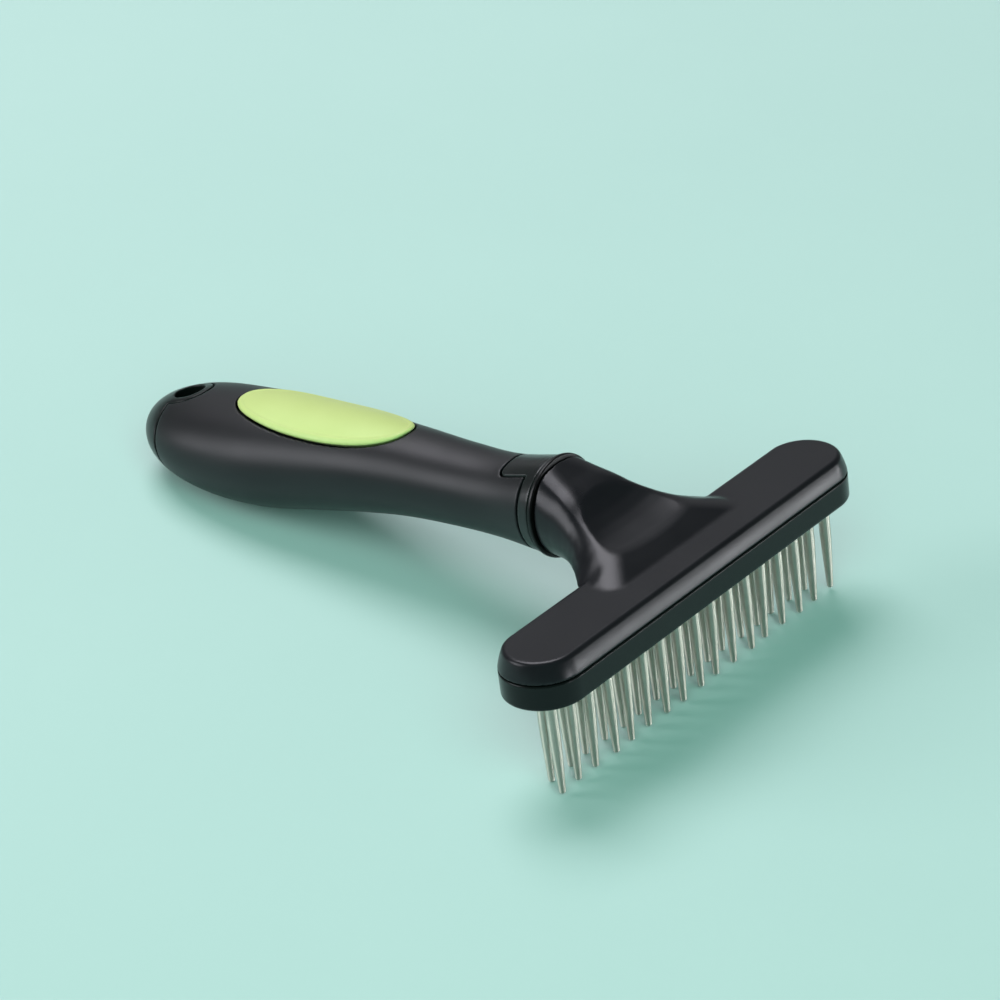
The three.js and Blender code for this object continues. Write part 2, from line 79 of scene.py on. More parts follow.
# Pins.
PIN_PITCH = 6
ROW_SPACING = 4.87
ROWS = {"front": (17, -ROW_SPACING / 2), "back": (16, ROW_SPACING / 2)}
PIN_REACH = 22.8
PIN_RADIUS = 1.25
PIN_TIP_RADIUS = 0.7
PIN_TIP_LENGTH = 0.5
PIN_TAPER_START = 9
PIN_TAPER_FULLNESS = 1.25
PIN_HEAD_RADIUS = 1.85
PIN_HEAD_BOTTOM = 3.2
PIN_HEAD_TOP = 4.3
PIN_HOLE_RADIUS = 1.44
# How far the pins lean in their loose holes, and how fast the lean changes from each pin to the next.
PIN_LEAN_ALONG = math.radians(0.9)
PIN_LEAN_ACROSS = math.radians(0.63)
LEAN_STEP_ALONG = 2.4
LEAN_STEP_ACROSS = 1.7
PIN_SIDES = 28

# Handle. Stations are evenly spaced along Y: the middle's height, half the height and half the width.
STATION_START = -37.7
STATION_STEP = 13.25
MIDDLE_Z = [31.3, 28.4, 26.2, 24.0, 21.1, 17.6, 14.2, 11.7, 10.6, 10.9]
HALF_HEIGHT = [10.8, 9.1, 9.0, 9.6, 10.6, 11.5, 12.3, 11.7, 9.9, 7.9]
HALF_WIDTH = [10.9, 9.6, 10.0, 11.0, 12.5, 14.1, 15.8, 15.8, 14.3, 12.2]
TAIL_END = 79.1
TAIL_ROUNDING = 22
TAIL_FULLNESS = 3
SLEEVE_THICKNESS = 2.2
CORE_INSET = SLEEVE_THICKNESS + GAP
NECK_REAR_Y = -39.1
RING_THICKNESS = 1.1
RING_RADIUS = 11.3
RING_BEVEL = 0.25
RING_BORE_RADIUS = 7.9
RING_SIDES = 128
COLLAR_FRONT_Y = -37.4
GRIP_START_Y = -34.2
CORE_START_Y = GRIP_START_Y - 1
TONGUE_END_Y = -25.2
TONGUE_HALF_WIDTH = 5.2
TONGUE_CORNER = 1.6
TANG_ROOT_RADIUS = 7.4
TANG_ROOT_LENGTH = 6.5
TANG_WIDTH = 10.4
TANG_HEIGHT = 8
TANG_LENGTH = 30
TANG_EDGE_RADIUS = 0.4
TANG_OVERLAP = 1
TANG_PIN_RADIUS = 1.5
TANG_PIN_DISTANCE = 20
HOLLOW_INSET = 5.8
HOLLOW_START_Y = -12
HOLLOW_END_Y = 50
HOLLOW_RADIUS = 1.0
CORE_END_Y = 60
PAD_CENTRE_Y = 28.3
PAD_HALF_LENGTH = 24.3
PAD_HALF_WIDTH = 8.8
PAD_FULLNESS = 2.3
PAD_PROUD = 0.4
PAD_GROOVE = 0.42
PAD_UNDERCUT = 0.8
PAD_RIM_HEIGHT = 0.2
PAD_RIM_INSET = 0.75
PAD_RIM_WIDTH = 0.4
PAD_EDGE_RADIUS = 0.35
PAD_BASE_Z = 18
HANG_HOLE_Y = 69.1
HANG_HOLE_RADIUS = 3.5
HANG_HOLE_ROUNDING = 0.35
BOSS_RADIUS = 5.3
CAP_EDGE_Y = 68.0
CAP_EDGE_Z = 11
CAP_EDGE_SLOPE = 0.45

# Neck, in the head's frame, from its front to its rear face. Each station has its place along v, half the
# width and the height of the widest line, the crests' distance from the middle and their height, the height
# of the scoop's middle between them, the underside, how far the flanks bulge, from 0, straight, to 1,
# round, and how far the scoop's surface has risen clear of the neck. Between stations the values run
# straight, and then they are smoothed.
NECK_NAMES = ("v", "width", "side", "crest", "crest_top", "middle", "under", "bulge", "clear")
NECK = [
    (-3.0, 24.3, 9.8, 13.5, 13.7, 12.9, 9.0, 0, 0),
    (5.2, 24.3, 9.8, 13.5, 13.7, 12.9, 9.0, 0, 0),
    (7.2, 22.9, 9.7, 13.5, 13.75, 13.0, 6.5, 0, 0),
    (9.4, 21.8, 9.5, 12.8, 14.1, 13.4, 6.4, 0.1, 0),
    (11.2, 19.8, 9.4, 11.9, 14.6, 13.8, 6.1, 0.2, 0),
    (13.6, 17.4, 9.4, 10.7, 15.5, 14.6, 5.5, 0.35, 0),
    (16.6, 14.9, 9.7, 8.9, 17.0, 16.1, 4.7, 0.55, 0),
    (18.8, 13.5, 10.1, 6.8, 18.6, 17.8, 4.1, 0.7, 0),
    (20.8, 12.5, 10.6, 4.8, 20.3, 19.9, 3.6, 0.82, 0.2),
    (22.5, 11.9, 11.2, 3.6, 21.2, 21.2, 3.3, 0.9, 1.2),
    (25.0, 11.2, 12.0, 2.6, 22.0, 22.0, 2.9, 0.95, 3),
    (29.0, 10.5, 13.2, 0.5, 23.7, 23.7, 2.7, 1, 4),
]
NECK_FOOT_V = -0.9
NECK_FRONT_SLOPE = math.radians(23)
NECK_CORNER_RADIUS = 1.5
NECK_CREST_RADIUS = 0.5
NECK_FOOT_RADIUS = 0.3
NECK_END_V = 34
NECK_SMOOTHING = 0.5
# The scoop's dish between the crests: how steeply it climbs, how far past them, and its least half width.
DISH_POWER = 2.5
DISH_REACH = 1.6
DISH_LEAST_WIDTH = 2
SCOOP_EVENING = 0.9

# The small rounding on moulded edges, the fillets where hidden solids join, and the mesh's cell.
EDGE_RADIUS = 0.22
JOIN_RADIUS = 0.1
FINE_JOIN_RADIUS = 0.05
CELL = 0.3


# ---- Fields --------------------------------------------------------------------------------------


def both(a, b, radius=EDGE_RADIUS):
    """Where two solids overlap, with the edge between them rounded."""
    inner = np.minimum(np.maximum(a, b), -radius)
    return inner + np.hypot(np.maximum(a + radius, 0), np.maximum(b + radius, 0))


def either(a, b, radius=EDGE_RADIUS):
    """Two solids joined, with a fillet where they meet."""
    return -both(-a, -b, radius)


def without(a, b, radius=EDGE_RADIUS):
    """The first solid with the second cut away."""
    return both(a, -b, radius)


def box_field(x, y, z, half_x, half_y, half_z, radius=0.0):
    """A box round the origin with rounded edges."""
    dx = np.abs(x) - half_x + radius
    dy = np.abs(y) - half_y + radius
    dz = np.abs(z) - half_z + radius
    outside = np.sqrt(np.maximum(dx, 0) ** 2 + np.maximum(dy, 0) ** 2 + np.maximum(dz, 0) ** 2)
    return outside + np.minimum(np.maximum(dx, np.maximum(dy, dz)), 0) - radius


def smooth(values, y):
    """A smooth curve through evenly spaced values, straight beyond its ends."""
    values = np.asarray(values, float)
    padded = np.concatenate([[2 * values[0] - values[1]], values, [2 * values[-1] - values[-2]]])
    place = (y - STATION_START) / STATION_STEP
    step = np.clip(np.floor(place), 0, len(values) - 2).astype(int)
    t = place - step
    before, start, end, after = (padded[step + k] for k in range(4))
    bend = 2 * before - 5 * start + 4 * end - after
    twist = 3 * (start - end) + after - before
    inside = start + t * (end - before + t * (bend + t * twist)) / 2
    return np.where((t < 0) | (t > 1), start + (end - start) * t, inside)


# The handle's curves on a fine row of places along Y.
ALONG = np.arange(-60, 100, 0.1)
MIDDLE = smooth(MIDDLE_Z, ALONG)
SLOPE = np.arctan2(smooth(MIDDLE_Z, ALONG + 0.5) - smooth(MIDDLE_Z, ALONG - 0.5), 1.0)
HALF_UP = smooth(HALF_HEIGHT, ALONG)
HALF_ACROSS = smooth(HALF_WIDTH, ALONG)


def at(curve, y):
    """The value of one of the handle's curves at a place along Y."""
    return np.interp(y, ALONG, curve)


def on_handle(y, z):
    """The station of the section that a point lies in, and its height there above the middle line."""
    station = np.array(y, float)
    for _ in range(4):
        slope = at(SLOPE, station)
        ahead = (y - station) * np.cos(slope) + (z - at(MIDDLE, station)) * np.sin(slope)
        station = station + ahead * np.cos(slope)
    slope = at(SLOPE, station)
    up = (z - at(MIDDLE, station)) * np.cos(slope) - (y - station) * np.sin(slope)
    return station, up


def handle(x, y, z, inset=0.0):
    """The handle's whole outer body, inset all round."""
    station, up = on_handle(y, z)
    wide = at(HALF_ACROSS, station) - inset
    high = at(HALF_UP, station) - inset
    closing = np.maximum((station - TAIL_END + inset + TAIL_ROUNDING) / TAIL_ROUNDING, 0)
    reach = np.sqrt((x / wide) ** 2 + (up / high) ** 2 + closing**TAIL_FULLNESS)
    closing_rate = TAIL_FULLNESS / 2 * closing ** (TAIL_FULLNESS - 1) / TAIL_ROUNDING
    steep = np.sqrt((x / wide**2) ** 2 + (up / high**2) ** 2 + closing_rate**2)
    return reach * (reach - 1) / np.maximum(steep, 1e-3)


def in_front_of(y, z, place):
    """Everything in front of the handle's section at a place along Y."""
    slope = float(at(SLOPE, place))
    return (y - place) * math.cos(slope) + (z - float(at(MIDDLE, place))) * math.sin(slope)


def along_handle(x, y, z, place):
    """A point in the frame of the section at a place: across, up and behind it."""
    slope = float(at(SLOPE, place))
    dy = y - place
    dz = z - float(at(MIDDLE, place))
    return x, dz * math.cos(slope) - dy * math.sin(slope), dy * math.cos(slope) + dz * math.sin(slope)


def behind_cap_edge(y, z, shift=0.0):
    """Everything behind the end cap's edge, which leans rearwards as it rises."""
    lean = math.atan(CAP_EDGE_SLOPE)
    return -(y - CAP_EDGE_Y - shift) * math.cos(lean) + (z - CAP_EDGE_Z) * math.sin(lean)


def boss(x, y, margin=0.0):
    """The upright boss round the hang hole, open towards the tail."""
    return np.hypot(x, np.minimum(y - HANG_HOLE_Y, 0)) - BOSS_RADIUS - margin


def pad_outline(x, y, margin=0.0):
    """The thumb pad's full oval seen from above."""
    half_width = PAD_HALF_WIDTH + margin
    half_length = PAD_HALF_LENGTH + margin
    across = np.abs(x) / half_width
    along = np.abs(y - PAD_CENTRE_Y) / half_length
    reach = np.maximum(across**PAD_FULLNESS + along**PAD_FULLNESS, 1e-6) ** (1 / PAD_FULLNESS)
    power = PAD_FULLNESS - 1
    steep = np.hypot(across**power / half_width, along**power / half_length) / reach**power
    return (reach - 1) / np.maximum(steep, 1e-3)


def tongue_outline(x, y, margin=0.0):
    """The collar's tongue seen from above, open towards the collar."""
    corner = TONGUE_CORNER + margin
    dx = np.abs(x) - TONGUE_HALF_WIDTH - margin + corner
    dy = y - TONGUE_END_Y - margin + corner
    return np.hypot(np.maximum(dx, 0), np.maximum(dy, 0)) + np.minimum(np.maximum(dx, dy), 0) - corner


def stadium(u, v, inset=0.0):
    """The head's outline seen from above."""
    straight = (HEAD_LENGTH - HEAD_WIDTH) / 2
    return np.hypot(np.maximum(np.abs(u) - straight, 0), v) - HEAD_WIDTH / 2 + inset


def neck_curves():
    """Each column of the neck's table on a fine row of places along v, gently smoothed."""
    table = np.array(NECK)
    step = 0.1
    v = np.arange(table[0, 0], NECK_END_V, step)
    reach = 12
    spread = np.exp(-0.5 * (np.arange(-reach, reach + 1) * step / NECK_SMOOTHING) ** 2)
    curves = {}
    for column, name in enumerate(NECK_NAMES[1:], start=1):
        values = np.interp(v, table[:, 0], table[:, column])
        end = v > table[-1, 0]
        rate = (table[-1, column] - table[-2, column]) / (table[-1, 0] - table[-2, 0])
        values[end] = table[-1, column] + rate * (v[end] - table[-1, 0])
        padded = np.pad(values, reach, mode="edge")
        curves[name] = np.convolve(padded, spread / spread.sum(), mode="valid")
    return v, curves


NECK_V, NECK_CURVES = neck_curves()


def neck(u, v, w):
    """The neck without its rear face: flanks that flare into the head, a sloping front, a scooped top."""
    c = {name: np.interp(v, NECK_V, curve) for name, curve in NECK_CURVES.items()}
    out = np.abs(u)
    span = np.maximum(c["width"] - c["crest"], 0.5)
    height = np.maximum(c["crest_top"] - c["side"], 0.3)
    power = 1 / (1 - 0.5 * c["bulge"])
    past = (out - c["crest"]) / span
    rise = np.maximum((w - c["side"]) / height, 0)
    upper = (1 - c["bulge"]) * past + c["bulge"] * np.maximum(past, 0) ** 2 + rise**power - 1
    outward = (1 - c["bulge"] + 2 * c["bulge"] * np.maximum(past, 0)) / span
    upward = power * np.maximum(rise, 0.1) ** (power - 1) / height
    steep = np.hypot(outward, upward)
    depth = c["side"] - c["under"]
    lower = (u / c["width"]) ** 2 + ((c["side"] - w) / depth) ** 2 - 1
    lower_steep = np.hypot(2 * u / c["width"] ** 2, 2 * (c["side"] - w) / depth**2)
    flank = np.where(w > c["side"], upper / steep, lower / np.maximum(lower_steep, 0.05))
    front = (w - HEAD_HEIGHT) * math.cos(NECK_FRONT_SLOPE) - (v - NECK_FOOT_V) * math.sin(NECK_FRONT_SLOPE)
    dish = np.minimum(out / np.maximum(c["crest"], DISH_LEAST_WIDTH), DISH_REACH) ** DISH_POWER
    scoop = (w - c["middle"] - c["clear"] - (c["crest_top"] - c["middle"]) * dish) * SCOOP_EVENING
    return both(both(flank, front, NECK_CORNER_RADIUS), scoop, NECK_CREST_RADIUS)


def head_to_table(u, v, w):
    """A point of the head's frame in the table's frame."""
    c, s = math.cos(HEAD_TILT), math.sin(HEAD_TILT)
    return u, HEAD_CENTRE_Y + v * c - w * s, HEAD_CENTRE_Z + v * s + w * c


def tang(x, y, z):
    """The round root and square bar that run from the neck into the handle, with the cross pin's hole."""
    across, up, behind = along_handle(x, y, z, NECK_REAR_Y)
    root = both(np.hypot(across, up) - TANG_ROOT_RADIUS, np.abs(behind) - TANG_ROOT_LENGTH)
    half = TANG_LENGTH / 2
    bar = box_field(across, up, behind - half, TANG_WIDTH / 2, TANG_HEIGHT / 2, half, TANG_EDGE_RADIUS)
    cross = np.hypot(behind - TANG_PIN_DISTANCE, up) - TANG_PIN_RADIUS - GAP
    return without(either(root, bar), cross)


def head_shell(u, v, w):
    """The cover, its lip and cavity, the neck, and the tang behind the neck's rear face."""
    height = np.maximum(w - SHELL_BOTTOM, 0)
    side = (stadium(u, v) + SIDE_LEAN * height + SIDE_CURVE * height**2) * SIDE_EVENING
    profile = both(side, w - HEAD_HEIGHT, TOP_EDGE_RADIUS)
    cover = both(profile, SHELL_BOTTOM - w, PARTING_EDGE_RADIUS)
    cavity = both(stadium(u, v, SHELL_WALL), w - SHELL_CEILING)
    lip = both(stadium(u, v, LIP_INSET), np.maximum(LIP_BOTTOM - w, w - SHELL_BOTTOM - LIP_OVERLAP))
    x, y, z = head_to_table(u, v, w)
    rear = in_front_of(y, z, NECK_REAR_Y)
    neck_body = both(neck(u, v, w), rear)
    body = without(either(cover, lip, JOIN_RADIUS), cavity)
    body = either(body, neck_body, NECK_FOOT_RADIUS)
    return either(body, both(tang(x, y, z), -rear - TANG_OVERLAP, FINE_JOIN_RADIUS), JOIN_RADIUS)


def base_plate(u, v, w):
    """The tray, with a hole for each pin."""
    slab = both(stadium(u, v), -w, BASE_EDGE_RADIUS)
    slab = both(slab, w - BASE_HEIGHT, PARTING_EDGE_RADIUS)
    pocket = both(stadium(u, v, BASE_WALL), BASE_FLOOR - w)
    body = without(slab, pocket)
    for count, row_v in ROWS.values():
        number = np.clip(np.round(u / PIN_PITCH + (count - 1) / 2), 0, count - 1)
        away = np.hypot(u - (number - (count - 1) / 2) * PIN_PITCH, v - row_v)
        body = without(body, away - PIN_HOLE_RADIUS)
    return body


def handle_core(x, y, z):
    """The hard inner body, with its collar, tongue, hollow and the tang's socket."""
    inner = both(handle(x, y, z, CORE_INSET), y - CORE_END_Y)
    inner = both(inner, -in_front_of(y, z, CORE_START_Y))
    skin = handle(x, y, z)
    collar = both(skin, -in_front_of(y, z, COLLAR_FRONT_Y))
    collar = both(collar, in_front_of(y, z, GRIP_START_Y - SEAM))
    tongue = both(skin, np.maximum(tongue_outline(x, y), MIDDLE_Z[1] - z))
    tongue = np.maximum(tongue, -in_front_of(y, z, CORE_START_Y))
    body = either(either(inner, collar, FINE_JOIN_RADIUS), tongue, FINE_JOIN_RADIUS)
    across, up, behind = along_handle(x, y, z, NECK_REAR_Y)
    bore = np.maximum(np.hypot(across, up) - TANG_ROOT_RADIUS - GAP, behind - TANG_ROOT_LENGTH - GAP)
    width = TANG_WIDTH / 2 + GAP
    height = TANG_HEIGHT / 2 + GAP
    socket = box_field(across, up, behind, width, height, TANG_LENGTH + GAP)
    cross = np.hypot(behind - TANG_PIN_DISTANCE, up) - TANG_PIN_RADIUS - GAP
    past_hollow = np.abs(y - (HOLLOW_START_Y + HOLLOW_END_Y) / 2) - (HOLLOW_END_Y - HOLLOW_START_Y) / 2
    hollow = both(handle(x, y, z, HOLLOW_INSET), past_hollow, HOLLOW_RADIUS)
    for cut in (bore, socket, cross, hollow):
        body = without(body, cut, JOIN_RADIUS)
    return body


def grip_sleeve(x, y, z):
    """The soft grip, cut back round the cap, the pad and the collar's tongue."""
    body = without(handle(x, y, z), handle(x, y, z, SLEEVE_THICKNESS))
    body = both(body, -in_front_of(y, z, GRIP_START_Y))
    cap_side = np.minimum(behind_cap_edge(y, z, -SEAM), boss(x, y, SEAM))
    body = without(body, cap_side)
    body = without(body, np.maximum(pad_outline(x, y, PAD_GROOVE), PAD_BASE_Z - z))
    return without(body, np.maximum(tongue_outline(x, y, SEAM), MIDDLE_Z[1] - z))


def thumb_pad(x, y, z):
    """The proud oval pad, with a faint raised line along its edge and a side that draws in below."""
    edge = pad_outline(x, y)
    top = handle(x, y, z, -PAD_PROUD)
    rim = PAD_RIM_HEIGHT * np.exp(-(((edge + PAD_RIM_INSET) / PAD_RIM_WIDTH) ** 2))
    layer = both(top - rim, -handle(x, y, z, SLEEVE_THICKNESS))
    side = edge + PAD_UNDERCUT * np.maximum(-top - PAD_PROUD, 0)
    return both(layer, np.maximum(side, PAD_BASE_Z - z), PAD_EDGE_RADIUS)


def end_cap(x, y, z):
    """The tail's cap with its boss, the plug that fits inside the sleeve, and the hang hole."""
    outer = handle(x, y, z)
    shell = both(outer, np.minimum(behind_cap_edge(y, z), np.maximum(boss(x, y), CORE_END_Y - y)))
    plug = both(handle(x, y, z, CORE_INSET), CORE_END_Y + GAP - y)
    hole = np.hypot(x, y - HANG_HOLE_Y) - HANG_HOLE_RADIUS
    return without(either(shell, plug, JOIN_RADIUS), hole, HANG_HOLE_ROUNDING)


# ---- Meshes --------------------------------------------------------------------------------------

CORNERS = np.array([(i, j, k) for i in (0, 1) for j in (0, 1) for k in (0, 1)])
EDGES = [(a, b) for a in range(8) for b in range(a + 1, 8) if np.abs(CORNERS[a] - CORNERS[b]).sum() == 1]
# Cells along each side of a block, and how many such sides away the surface may be from a kept block.
BLOCK = 6
BLOCK_REACH = 1.6


def near_blocks(field, low, counts, cell):
    """The lattice's blocks of cells that the surface may pass through."""
    size = BLOCK * cell
    shape = [int(math.ceil(n / BLOCK)) for n in counts]
    index = np.stack(np.meshgrid(*(np.arange(n) for n in shape), indexing="ij"), -1).reshape(-1, 3)
    centre = low + (index + 0.5) * size
    distance = field(*centre.T)
    return index[np.abs(distance) < size * BLOCK_REACH]


def crossings(values):
    """Where the surface crosses each cell, as the mean of its edges' crossings."""
    total = np.zeros((len(values), 3))
    count = np.zeros(len(values))
    for a, b in EDGES:
        va, vb = values[:, a], values[:, b]
        crossed = (va < 0) != (vb < 0)
        t = np.where(crossed, va / np.where(crossed, va - vb, 1), 0)[:, None]
        total += np.where(crossed[:, None], CORNERS[a] + t * (CORNERS[b] - CORNERS[a]), 0)
        count += crossed
    return total / count[:, None]


def gradient(field, points, step=0.02):
    """The field's slope along each axis."""
    slopes = []
    for axis in range(3):
        shift = np.zeros(3)
        shift[axis] = step
        slopes.append((field(*(points + shift).T) - field(*(points - shift).T)) / (2 * step))
    return np.stack(slopes, -1)


def settled(field, points, cell):
    """The points moved onto the surface itself, each by no more than most of a cell."""
    start = points.copy()
    most = 0.7 * cell
    for _ in range(3):
        slope = gradient(field, points)
        steep = np.maximum((slope**2).sum(1), 0.04)
        points = points - (field(*points.T) / steep)[:, None] * slope
        points = start + np.clip(points - start, -most, most)
    return points


def surface(field, low, high, cell):
    """Points and quads of the surface where a field is zero, inside a box."""
    low = np.array(low, float)
    counts = np.ceil((np.array(high) - low) / cell).astype(int)
    blocks = near_blocks(field, low, counts, cell)
    local = np.stack(np.meshgrid(*(np.arange(BLOCK + 1),) * 3, indexing="ij"), -1)
    lattice = blocks[:, None, None, None, :] * BLOCK + local
    values = field(*(low + lattice.reshape(-1, 3) * cell).T).reshape(lattice.shape[:-1])
    inside = values < 0
    spans = [slice(0, BLOCK), slice(1, BLOCK + 1)]
    corner_inside = np.stack([inside[:, spans[i], spans[j], spans[k]] for i, j, k in CORNERS], -1)
    corner_values = np.stack([values[:, spans[i], spans[j], spans[k]] for i, j, k in CORNERS], -1)
    cut = corner_inside.any(-1) & ~corner_inside.all(-1)
    cells = lattice[:, :BLOCK, :BLOCK, :BLOCK][cut]
    cell_values = corner_values[cut]
    points = low + (cells + crossings(cell_values)) * cell
    stride = np.array([(counts[1] + 2 * BLOCK) * (counts[2] + 2 * BLOCK), counts[2] + 2 * BLOCK, 1])
    code = cells @ stride
    order = np.argsort(code)
    quads = []
    for axis in range(3):
        other = [1, 2, 4][2 - axis]
        crossed = (cell_values[:, 0] < 0) != (cell_values[:, other] < 0)
        one, two = (axis + 1) % 3, (axis + 2) % 3
        here = code[crossed]
        past_one = here - stride[one]
        ring = np.stack([here, past_one, past_one - stride[two], here - stride[two]], -1)
        flip = cell_values[crossed, 0] >= 0
        ring[flip] = ring[flip][:, ::-1]
        quads.append(ring)
    quads = np.concatenate(quads)
    place = order[np.searchsorted(code, quads, sorter=order).clip(0, len(code) - 1)]
    return settled(field, points, cell), place


def mesh_from(name, points, faces):
    """A smooth-shaded object from points in millimetres."""
    mesh = bpy.data.meshes.new(name)
    mesh.vertices.add(len(points))
    mesh.vertices.foreach_set("co", (points * MM).astype(np.float32).ravel())
    mesh.loops.add(faces.size)
    mesh.loops.foreach_set("vertex_index", faces.ravel().astype(np.int32))
    mesh.polygons.add(len(faces))
    mesh.polygons.foreach_set("loop_start", np.arange(0, faces.size, faces.shape[1], dtype=np.int32))
    mesh.update(calc_edges=True)
    mesh.validate()
    mesh.polygons.foreach_set("use_smooth", np.ones(len(faces), bool))
    piece = bpy.data.objects.new(name, mesh)
    bpy.context.scene.collection.objects.link(piece)
    return piece


def node_box(name, margin=1.5):
    """A CAD node's lowest and highest corners in millimetres, with a margin."""
    low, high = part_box(name)
    return np.array(low) / MM - margin, np.array(high) / MM + margin


def table_piece(name, field):
    """A piece whose field is in the table's frame."""
    low, high = node_box(name)
    return mesh_from(name + "_fine", *surface(field, low, high, CELL))


def head_piece(name, field, low, high):
    """A piece whose field is in the head's frame."""
    points, faces = surface(field, low, high, CELL)
    return mesh_from(name + "_fine", np.stack(head_to_table(*points.T), -1), faces)


def lathe(profile, sides):
    """The points and quads of a body turned round Z from a profile of (radius, height)."""
    turn = np.arange(sides) * 2 * math.pi / sides
    rings = [np.stack([r * np.cos(turn), r * np.sin(turn), np.full(sides, h)], -1) for r, h in profile]
    points = np.concatenate(rings)
    faces = []
    for ring in range(len(profile) - 1):
        for side in range(sides):
            after = (side + 1) % sides
            faces.append((ring * sides + side, ring * sides + after,
                          (ring + 1) * sides + after, (ring + 1) * sides + side))
    return points, np.array(faces)


# ---- Pieces --------------------------------------------------------------------------------------


def body_of(node):
    """The CAD body that a node belongs to."""
    bodies = frame["record"]["behaviour"]["bodies"]
    return next(name for name, members in bodies.items() if node in members)


def wear(piece, material, node):
    """Gives a piece its material and lets it stand for its CAD node, on that node's body."""
    piece.data.materials.clear()
    piece.data.materials.append(material)
    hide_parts(node)
    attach(piece, body_of(node))


def rounded_profile(points, radius, steps):
    """A profile whose inner corners are rounded, ends kept."""
    rounded = [points[0]]
    for before, corner, after in zip(points, points[1:], points[2:]):
        before, corner, after = (np.array(p, float) for p in (before, corner, after))
        back = before - corner
        ahead = after - corner
        cut = min(radius, 0.45 * np.linalg.norm(back), 0.45 * np.linalg.norm(ahead))
        start = corner + back / np.linalg.norm(back) * cut
        end = corner + ahead / np.linalg.norm(ahead) * cut
        for k in range(steps + 1):
            t = k / steps
            rounded.append(tuple((1 - t) ** 2 * start + 2 * t * (1 - t) * corner + t**2 * end))
    return rounded + [points[-1]]


def pin_profile():
    """From the blunt tip, up the long taper and the shank, to the flat head."""
    tip_top = -PIN_REACH + PIN_TIP_LENGTH
    tip = []
    for angle in np.linspace(0.02, 1.5, 8):
        tip.append((PIN_TIP_RADIUS * math.sin(angle), tip_top - PIN_TIP_LENGTH * math.cos(angle)))
    taper = []
    for t in np.linspace(0, 1, 16):
        swell = 1 - (1 - t) ** PIN_TAPER_FULLNESS
        radius = PIN_TIP_RADIUS + (PIN_RADIUS - PIN_TIP_RADIUS) * swell
        taper.append((radius, tip_top + t * (-PIN_TAPER_START - tip_top)))
    shank_start = -PIN_TAPER_START + 0.5
    near_axis = 0.02
    shank = [
        (PIN_RADIUS, shank_start),
        (PIN_RADIUS, PIN_HEAD_BOTTOM),
        (PIN_HEAD_RADIUS, PIN_HEAD_BOTTOM),
        (PIN_HEAD_RADIUS, PIN_HEAD_TOP),
        (near_axis, PIN_HEAD_TOP),
    ]
    return tip + taper + rounded_profile(shank, radius=0.1, steps=2)


def make_pins(material):
    """Both rows of pins, which share one mesh, each with its own slight lean."""
    points, faces = lathe(pin_profile(), PIN_SIDES)
    shape = None
    head_place = Vector((0, HEAD_CENTRE_Y, HEAD_CENTRE_Z)) * MM
    head = Matrix.Translation(head_place) @ Matrix.Rotation(HEAD_TILT, 4, "X")
    for row, (count, v) in ROWS.items():
        for i in range(count):
            node = f"{row}_pin_{i + 1:02d}"
            if shape is None:
                pin = mesh_from(node + "_fine", points, faces)
                shape = pin.data
            else:
                pin = bpy.data.objects.new(node + "_fine", shape)
                bpy.context.scene.collection.objects.link(pin)
            u = (i - (count - 1) / 2) * PIN_PITCH
            lean_across = PIN_LEAN_ACROSS * math.cos(LEAN_STEP_ACROSS * i + v)
            lean_along = PIN_LEAN_ALONG * math.sin(LEAN_STEP_ALONG * i + v)
            lean = Matrix.Rotation(lean_across, 4, "X") @ Matrix.Rotation(lean_along, 4, "Y")
            pin.matrix_world = head @ Matrix.Translation(Vector((u, v, 0)) * MM) @ lean
            wear(pin, material, node)


def make_ring(material):
    """The ring between neck and handle. Its last round of points is joined to the first."""
    half = RING_THICKNESS / 2
    section = [
        (RING_BORE_RADIUS, 0),
        (RING_BORE_RADIUS, -half),
        (RING_RADIUS - RING_BEVEL, -half),
        (RING_RADIUS, -half + RING_BEVEL),
        (RING_RADIUS, half - RING_BEVEL),
        (RING_RADIUS - RING_BEVEL, half),
        (RING_BORE_RADIUS, half),
        (RING_BORE_RADIUS, 0),
    ]
    points, faces = lathe(rounded_profile(section, radius=0.15, steps=3), RING_SIDES)
    last_round = len(points) - RING_SIDES
    faces = np.where(faces >= last_round, faces - last_round, faces)
    points = points[:last_round]
    slope = float(at(SLOPE, NECK_REAR_Y))
    turn = np.array(Matrix.Rotation(slope - math.pi / 2, 3, "X"))
    points[:, 2] += GAP + half
    points = points @ turn.T + np.array([0, NECK_REAR_Y, float(at(MIDDLE, NECK_REAR_Y))])
    wear(mesh_from("neck_ring_fine", points, faces), material, "neck_ring")


def make_head(shell_material, base_material):
    """The shell and the base plate, each meshed inside a box a little larger than itself."""
    edge = HEAD_LENGTH / 2 + 1
    half = HEAD_WIDTH / 2 + 1
    neck_top = 26
    tang_end = 62
    shell = head_piece("head_shell", head_shell, (-edge, -half, 1), (edge, tang_end, neck_top))
    wear(shell, shell_material, "head_shell")
    base = head_piece("base_plate", base_plate, (-edge, -half, -1), (edge, half, BASE_HEIGHT + 1))
    wear(base, base_material, "base_plate")


def make_handle(finishes):
    """The handle's four outer pieces, each with its own finish."""
    fields = {
        "handle_core": handle_core,
        "grip_sleeve": grip_sleeve,
        "thumb_pad": thumb_pad,
        "end_cap": end_cap,
    }
    for node, field in fields.items():
        wear(table_piece(node, field), finishes[node], node)


def finish_hidden_pieces(finishes):
    """The CAD nodes that stay, with the finishes that they get."""
    for node, material in finishes.items():
        slots = frame["nodes"][node].data.materials
        slots.clear()
        slots.append(material)


# ---- Materials -----------------------------------------------------------------------------------


def principled(name):
    """A new material, its nodes and links, and its shader."""
    material = bpy.data.materials.new(name)
    material.use_nodes = True
    nodes = material.node_tree.nodes
    return material, nodes, material.node_tree.links, nodes["Principled BSDF"]


